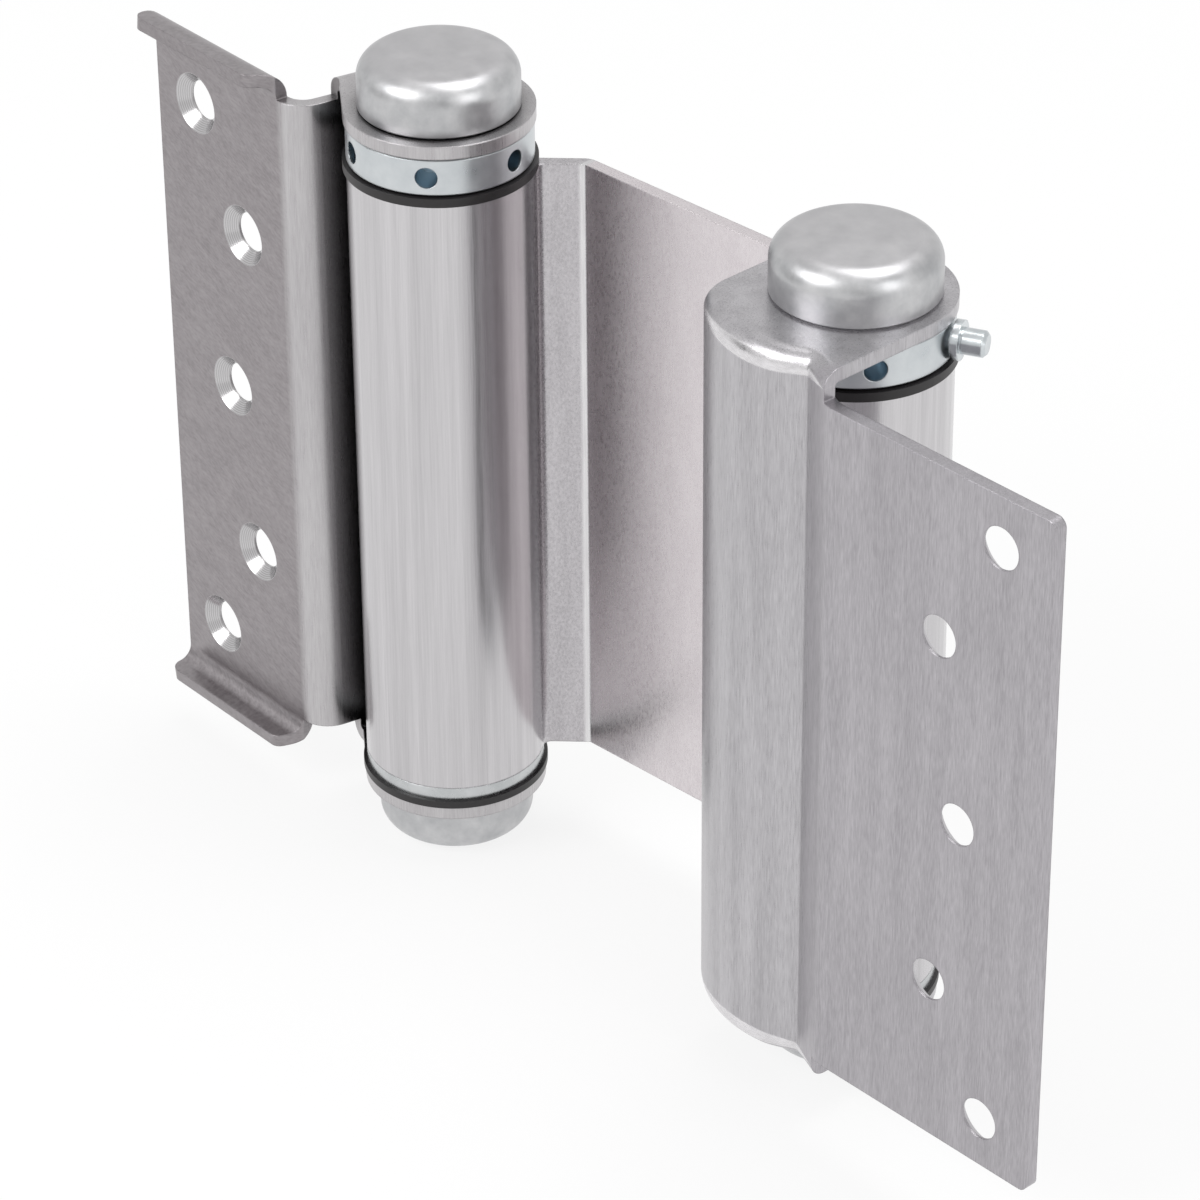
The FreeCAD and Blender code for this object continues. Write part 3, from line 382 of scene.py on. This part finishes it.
# %% Find the countersinks
mounts = {mount["name"]: mount for mount in frame["record"]["mounts"]}
upper_half = add_node(tree, "ShaderNodeMath", {0: apart.outputs["Z"]}, operation="ABSOLUTE")
folded = add_node(tree, "ShaderNodeCombineXYZ", {
    "X": apart.outputs["X"], "Z": upper_half.outputs[0]})
from_hole = 1.0
for name in ("frame_screws_outer", "frame_screws_inner", "frame_screw_middle"):
    half_spacing = mounts[name]["dims"].get("spacing_y_mm", 0) / 2000
    hole = (mounts[name]["pos_m"][0], 0, half_spacing)
    reach = add_node(tree, "ShaderNodeVectorMath", {
        0: folded.outputs[0], 1: hole}, operation="DISTANCE")
    from_hole = add_node(tree, "ShaderNodeMath", {
        0: reach.outputs["Value"], 1: from_hole}, operation="MINIMUM").outputs[0]
    print(name, "at", [round(v, 4) for v in hole])

sink_radius = 0.0052
sink_margin = 0.00005
# the leaf's back lies at Y 0 and has no countersinks, so it keeps its skin
back_face = -0.0001
in_sink = add_node(tree, "ShaderNodeMath", {
    0: from_hole, 1: sink_radius + sink_margin}, operation="LESS_THAN")
before_back = add_node(tree, "ShaderNodeMath", {
    0: apart.outputs["Y"], 1: back_face}, operation="LESS_THAN")
is_sink = add_node(tree, "ShaderNodeMath", {
    0: in_sink.outputs[0], 1: before_back.outputs[0]}, operation="MULTIPLY")

# %% Cut their rings and finish the frame leaf
# the cutter's rings are about 0.1 mm apart; they are drawn coarser, so that they show
ring_pitch = 0.00025
ring_angle = add_node(tree, "ShaderNodeMath", {
    0: from_hole, 1: 2 * math.pi / ring_pitch}, operation="MULTIPLY")
rings = add_node(tree, "ShaderNodeMath", {0: ring_angle.outputs[0]}, operation="SINE")
ring_level = add_node(tree, "ShaderNodeMapRange", {
    "Value": rings.outputs[0], "From Min": -1.0, "From Max": 1.0})
ring_colour = add_node(tree, "ShaderNodeMix", {
    0: ring_level.outputs[0], 6: linear("#B3B1B2"), 7: linear("#C8C7C8")}, data_type="RGBA")
cut = add_node(tree, "ShaderNodeBsdfPrincipled", {
    "Base Color": ring_colour.outputs[2], "Metallic": 1.0, "Roughness": 0.22})
finished = add_node(tree, "ShaderNodeMixShader", {
    0: is_sink.outputs[0], 1: surface.outputs[0], 2: cut.outputs[0]})
add_node(tree, "ShaderNodeOutputMaterial", {"Surface": finished.outputs[0]})
give(frame_steel, "frame_leaf")

# %% [markdown]
# The door leaf
#
# This leaf was brushed along its height: the fine lines run straight up over the flat and over the
# curved wall alike. The curved wall is painted a little brighter, a painted highlight, so it gets
# its own skin, chosen by the distance from the barrel's axis. The wall's radius is read from the
# leaf itself, whose lowest Y is the outside of the curve.

# %% Measure the distance from an upright axis


def distance_from_axis(tree, place, axis):
    # the height is multiplied by 0, so only the level distance is left
    level_place = add_node(tree, "ShaderNodeVectorMath", {
        0: place.outputs["Object"], 1: (1, 1, 0)}, operation="MULTIPLY")
    return add_node(tree, "ShaderNodeVectorMath", {
        0: level_place.outputs[0], 1: (axis.x, axis.y, 0)}, operation="DISTANCE").outputs["Value"]


print("the two axes are", round((axis_b - axis_a).length * 1000, 1), "mm apart")

# %% Brush the door leaf
wall_margin = 0.0003
wall_blend = 0.0012
door_steel, tree = new_material("stainless_door_leaf")
brushed = steel_skin(
    tree, "#A09DA1", "#BBB8BC", (0.2, (1, 1, 12), 0.7), (3.0, (1, 1, 10), 0.3), 0.34)
# the curved wall's lighter tones are a painted highlight
door_wall_painted_highlight = steel_skin(
    tree, "#A8A6A9", "#C5C3C6", (0.2, (1, 1, 14), 0.6), (3.0, (1, 1, 16), 0.4), 0.3)
leaf_corners = [corner.co for corner in nodes["door_leaf"].data.vertices]
wall_radius = axis_b.y - min(corner.y for corner in leaf_corners)
place = add_node(tree, "ShaderNodeTexCoord")
off_wall = add_node(tree, "ShaderNodeMapRange", {
    "Value": distance_from_axis(tree, place, axis_b),
    "From Min": wall_radius + wall_margin, "From Max": wall_radius + wall_margin + wall_blend})
surface = add_node(tree, "ShaderNodeMixShader", {
    0: off_wall.outputs[0], 1: door_wall_painted_highlight, 2: brushed})
print("curved wall of the door leaf has a radius of", round(wall_radius * 1000, 2), "mm")

# %% [markdown]
# The painted crescent highlight
#
# Where an ear was folded off the curved wall, the pressed slope shows a bright crescent highlight,
# widest in the middle and running out towards both corners. On the real leaf it is a small slope of
# its own that catches the light. The solid has one plain round fold there, so the crescent is
# painted on that fold as a painted highlight. Its upper and lower outlines are parabolas across the
# wall, and the lower end of the leaf mirrors the upper one.

# %% Outline the crescent
leaf_top = max(corner.z for corner in leaf_corners)
crescent_drop = 0.0024
crescent_level = leaf_top - crescent_drop
crescent_half = 0.0014
crescent_reach = 0.0165
apart = add_node(tree, "ShaderNodeSeparateXYZ", {0: place.outputs["Object"]})
across = add_node(tree, "ShaderNodeMapRange", {
    "Value": apart.outputs["X"], "From Min": axis_b.x, "From Max": axis_b.x + crescent_reach},
    clamp=False)
across_squared = add_node(tree, "ShaderNodeMath", {
    0: across.outputs[0], 1: 2}, operation="POWER")
either_end = add_node(tree, "ShaderNodeMath", {0: apart.outputs["Z"]}, operation="ABSOLUTE")
off_level = add_node(tree, "ShaderNodeMapRange", {
    "Value": either_end.outputs[0], "From Min": crescent_level,
    "From Max": crescent_level + crescent_half}, clamp=False)
off_centre = add_node(tree, "ShaderNodeMath", {0: off_level.outputs[0]}, operation="ABSOLUTE")
print("crescent lies", crescent_drop * 1000, "mm under the ear's top")

# %% Fill it and finish the door leaf
past_edge = add_node(tree, "ShaderNodeMath", {
    0: off_centre.outputs[0], 1: across_squared.outputs[0]}, operation="ADD")
off_crescent = add_node(tree, "ShaderNodeMapRange", {
    "Value": past_edge.outputs[0], "From Min": 0.8, "From Max": 1.0})
# the crescent's light tones are a painted highlight
crescent_painted_highlight = steel_skin(
    tree, "#D2D0D2", "#E8E6E8", (0.3, (3, 3, 1), 0.6), (2.0, (2, 2, 1), 0.4), 0.27)
finished = add_node(tree, "ShaderNodeMixShader", {
    0: off_crescent.outputs[0], 1: crescent_painted_highlight, 2: surface.outputs[0]})
add_node(tree, "ShaderNodeOutputMaterial", {"Surface": finished.outputs[0]})
give(door_steel, "door_leaf")

# %% [markdown]
# The middle plate and its barrels
#
# One sheet shows several skins. Its flat kept the soft, cloudy surface of the mill. The slanting
# strips beside the barrels were stretched until the surface turned into orange peel. The barrels
# were drawn through a ring and polished by it, with long upright lines. One material could be
# split over three objects, but the real one is a single sheet, so the skins are mixed by place:
# the distance from the middle of the plate for the strips, and from the axes for the barrels.

# %% Make the skins of the plate
plate_steel, tree = new_material("stainless_plate_and_barrels")
flat_skin = steel_skin(
    tree, "#D4CDD0", "#E3DDDF", (0.35, (1, 1, 3), 0.7), (4.0, (1, 1, 3), 0.3), 0.28,
    relief=0.000008)
peel_skin = steel_skin(
    tree, "#AFACAF", "#CAC7CA", (0.4, (1, 1, 1.5), 0.7), (3.0, (1, 1, 6), 0.3), 0.28,
    relief=0.00008)
drawn_skin = steel_skin(
    tree, "#BDBBBD", "#D2D0D2", (0.22, (1, 1, 60), 0.4), (2.2, (1, 1, 90), 0.6), 0.22)
# the rubbed bend is a painted highlight along each bend of the plate
plate_bend_painted_highlight = steel_skin(
    tree, "#D2D0D2", "#E6E5E6", (0.3, (1, 1, 20), 0.5), (2.0, (1, 1, 8), 0.5), 0.24)
print("plate has four skins: flat, peel, drawn and the rubbed bend")

# %% Part the strips from the flat
strip_run = 0.017
bend_blend = 0.0002
a_to_b = axis_b - axis_a
axis_gap = a_to_b.length
flat_half = axis_gap / 2 - strip_run
place = add_node(tree, "ShaderNodeTexCoord")
offset = add_node(tree, "ShaderNodeVectorMath", {
    0: place.outputs["Object"], 1: tuple((axis_a + axis_b) / 2)}, operation="SUBTRACT")
along = add_node(tree, "ShaderNodeVectorMath", {
    0: offset.outputs[0], 1: tuple(a_to_b / axis_gap)}, operation="DOT_PRODUCT")
from_middle = add_node(tree, "ShaderNodeMath", {0: along.outputs["Value"]}, operation="ABSOLUTE")
on_strip = add_node(tree, "ShaderNodeMapRange", {
    "Value": from_middle.outputs[0],
    "From Min": flat_half - bend_blend, "From Max": flat_half + bend_blend})
sheet = add_node(tree, "ShaderNodeMixShader", {
    0: on_strip.outputs[0], 1: flat_skin, 2: peel_skin})
print("flat of the plate is", round(flat_half * 2000, 1), "mm wide")

# %% Paint a highlight along the bends
# a painted highlight, a bright line about a millimetre wide, runs along each bend
line_full = 0.0003
line_end = 0.0007
to_bend = add_node(tree, "ShaderNodeMath", {
    0: from_middle.outputs[0], 1: flat_half + bend_blend}, operation="SUBTRACT")
bend_distance = add_node(tree, "ShaderNodeMath", {0: to_bend.outputs[0]}, operation="ABSOLUTE")
on_line = add_node(tree, "ShaderNodeMapRange", {
    "Value": bend_distance.outputs[0], "From Min": line_end, "From Max": line_full})
sheet = add_node(tree, "ShaderNodeMixShader", {
    0: on_line.outputs[0], 1: sheet.outputs[0], 2: plate_bend_painted_highlight})
print("bright lines lie", round((flat_half + bend_blend) * 1000, 1), "mm from the middle")

# %% Draw the barrels and finish the plate
barrel_margin = 0.0001
barrel_blend = 0.0003
from_barrel = 1.0
for axis in (axis_a, axis_b):
    from_barrel = add_node(tree, "ShaderNodeMath", {
        0: distance_from_axis(tree, place, axis), 1: from_barrel}, operation="MINIMUM").outputs[0]
off_barrel = add_node(tree, "ShaderNodeMapRange", {
    "Value": from_barrel, "From Min": barrel_radius + barrel_margin,
    "From Max": barrel_radius + barrel_margin + barrel_blend})
finished = add_node(tree, "ShaderNodeMixShader", {
    0: off_barrel.outputs[0], 1: drawn_skin, 2: sheet.outputs[0]})
add_node(tree, "ShaderNodeOutputMaterial", {"Surface": finished.outputs[0]})
give(plate_steel, "middle_plate")

# %% [markdown]
# Painted light and shade on zinc
#
# Two places of the zinc-plated pieces differ from the rest. The crown of a cap gets painted light:
# a grey that is a touch warmer and less cloudy, for how the light falls on the top. The tommy-bar
# holes of a collar are painted blue-grey inside, as painted shade in the recess. Both are found by
# shape: the crown by its upward normal, the holes by lying nearer to the barrel's axis than the
# collar's skin.

# %% Paint light on the crowns and shade in the holes


# paints light on the crown: a face that looks up is mixed towards the crown colour
def paint_crown_light(tree, place, shown, crown):
    facing = add_node(tree, "ShaderNodeSeparateXYZ", {0: place.outputs["Normal"]})
    upward = add_node(tree, "ShaderNodeMapRange", {
        "Value": facing.outputs["Z"], "From Min": 0.6, "From Max": 1.0, "To Max": 0.6})
    return add_node(tree, "ShaderNodeMix", {
        0: upward.outputs[0], 6: shown, 7: linear(crown)}, data_type="RGBA").outputs[2]


hole_start = 0.0148
hole_full = 0.0143


# paints shade inside the drilled holes: a blue-grey is mixed in by depth
def paint_hole_shade(tree, place, shown, centre):
    depth = add_node(tree, "ShaderNodeMapRange", {
        "Value": distance_from_axis(tree, place, centre),
        "From Min": hole_full, "From Max": hole_start})
    return add_node(tree, "ShaderNodeMix", {
        0: depth.outputs[0], 6: linear("#B4C4CE"), 7: shown}, data_type="RGBA").outputs[2]


print("holes turn blue", round((barrel_radius - hole_start) * 1000, 1), "mm under the skin")

# %% [markdown]
# Zinc
#
# The caps, the collars, the end rings and the pin are turned or pressed steel with a bright zinc
# plating. Zinc is a cool, slightly blue white, smooth but not mirror-like, with faint cloudy
# patches, some millimetres wide, where the bath left it.

# %% Make the zinc finish
cloud_mm = 4.5
zinc_edge = 0.00025


def zinc(name, dark, light, roughness, crown=None, centre=None):
    # crown: colour of a cap's crown; centre: the barrel axis of a drilled collar
    material, tree = new_material(name)
    place = add_node(tree, "ShaderNodeTexCoord")
    clouds = add_node(tree, "ShaderNodeTexNoise", {
        "Vector": place.outputs["Object"], "Scale": 1000 / cloud_mm, "Detail": 4.0,
        "Roughness": 0.6}).outputs[0]
    amount = add_node(tree, "ShaderNodeMapRange", {
        "Value": clouds, "From Min": 0.3, "From Max": 0.7})
    shown = add_node(tree, "ShaderNodeMix", {
        0: amount.outputs[0], 6: linear(dark), 7: linear(light)}, data_type="RGBA").outputs[2]
    if crown:
        shown = paint_crown_light(tree, place, shown, crown)
    if centre:
        shown = paint_hole_shade(tree, place, shown, centre)
    dull = add_node(tree, "ShaderNodeMapRange", {
        "Value": clouds, "From Min": 0.3, "From Max": 0.7,
        "To Min": roughness - 0.04, "To Max": roughness + 0.05})
    rounded = add_node(tree, "ShaderNodeBevel", {"Radius": zinc_edge}, samples=4)
    relief = add_node(tree, "ShaderNodeBump", {
        "Height": clouds, "Distance": 0.00003, "Strength": 0.2, "Normal": rounded.outputs[0]})
    metal = add_node(tree, "ShaderNodeBsdfPrincipled", {
        "Base Color": shown, "Metallic": 1.0,
        "Roughness": dull.outputs[0], "Normal": relief.outputs[0]})
    add_node(tree, "ShaderNodeOutputMaterial", {"Surface": metal.outputs[0]})
    return material


print("zinc clouds are", cloud_mm, "mm wide")

# %% Plate the caps, rings, collars and pin
# crown: the colour of the painted light on the cap tops
cap_zinc = zinc("zinc_plated_caps", "#B0B1B3", "#CECECF", 0.37, crown="#BFBDBF")
give(cap_zinc, "cap_upper_a", "cap_lower_a", "cap_upper_b", "cap_lower_b")
give(zinc("zinc_plated_rings", "#BABDBE", "#D0D2D3", 0.28), "ring_a", "ring_b")
# centre gives each collar its painted shade inside the drilled holes
give(zinc("zinc_plated_collar_a", "#C2C7CA", "#D3D7D9", 0.3, centre=axis_a), "collar_a")
give(zinc("zinc_plated_collar_b", "#C2C7CA", "#D3D7D9", 0.3, centre=axis_b), "collar_b")
give(zinc("zinc_plated_pin", "#C3C8CB", "#DADFE1", 0.22), "tension_pin")

# %% [markdown]
# Black washers
#
# The washers that the collars and end rings run on are moulded nylon, coloured black through. A
# dark, slightly brown plastic with a soft sheen and a fine moulded grain shows as such. The grain
# is under a tenth of a millimetre in the real one, and drawn coarser here, so that it shows.

# %% Make the washer plastic
nylon_grain_mm = 0.65
nylon, tree = new_material("black_nylon")
place = add_node(tree, "ShaderNodeTexCoord")
speckle = add_node(tree, "ShaderNodeTexNoise", {
    "Vector": place.outputs["Object"], "Scale": 1000 / nylon_grain_mm, "Detail": 2.0})
colour = add_node(tree, "ShaderNodeMix", {
    0: speckle.outputs[0], 6: linear("#131112"), 7: linear("#211D1F")}, data_type="RGBA")
relief = add_node(tree, "ShaderNodeBump", {
    "Height": speckle.outputs[0], "Distance": 0.00003, "Strength": 0.3})
plastic = add_node(tree, "ShaderNodeBsdfPrincipled", {
    "Base Color": colour.outputs[2], "Roughness": 0.42, "IOR": 1.53,
    "Normal": relief.outputs[0]})
add_node(tree, "ShaderNodeOutputMaterial", {"Surface": plastic.outputs[0]})
give(nylon, "washer_upper_a", "washer_upper_b", "washer_lower_a", "washer_lower_b")

# %% [markdown]
# Springs and spindles
#
# Both are shut inside the barrels and show only in a cut-away. The spring is oiled dark steel
# wire; its plain sleeve gets bands at the pitch of the wire, whose dark part is painted shade
# between the turns, so that it reads as a coil. The spindle is bright drawn bar with lines along it.

# %% Make the spring wire
wire_pitch = 0.003
coil, tree = new_material("oiled_spring_wire")
place = add_node(tree, "ShaderNodeTexCoord")
# a wave texture repeats every pi / 10 at scale 1
turns = add_node(tree, "ShaderNodeTexWave", {
    "Vector": place.outputs["Object"], "Scale": 2 * math.pi / 20 / wire_pitch,
    "Distortion": 0.0}, wave_type="BANDS", bands_direction="Z")
# the dark tone of each band is painted shade between the turns
colour = add_node(tree, "ShaderNodeMix", {
    0: turns.outputs[1], 6: linear("#17181A"), 7: linear("#6A6B6E")}, data_type="RGBA")
relief = add_node(tree, "ShaderNodeBump", {
    "Height": turns.outputs[1], "Distance": 0.0012, "Strength": 0.8})
wire = add_node(tree, "ShaderNodeBsdfPrincipled", {
    "Base Color": colour.outputs[2], "Metallic": 1.0, "Roughness": 0.35,
    "Normal": relief.outputs[0]})
add_node(tree, "ShaderNodeOutputMaterial", {"Surface": wire.outputs[0]})
give(coil, "spring_a", "spring_b")

# %% Make the spindle steel
drawn_bar, tree = new_material("bright_drawn_bar")
bar_skin = steel_skin(
    tree, "#8D8D90", "#A9A9AC", (0.3, (1, 1, 40), 0.6), (2.0, (1, 1, 40), 0.4), 0.25)
add_node(tree, "ShaderNodeOutputMaterial", {"Surface": bar_skin})
give(drawn_bar, "spindle_a", "spindle_b")
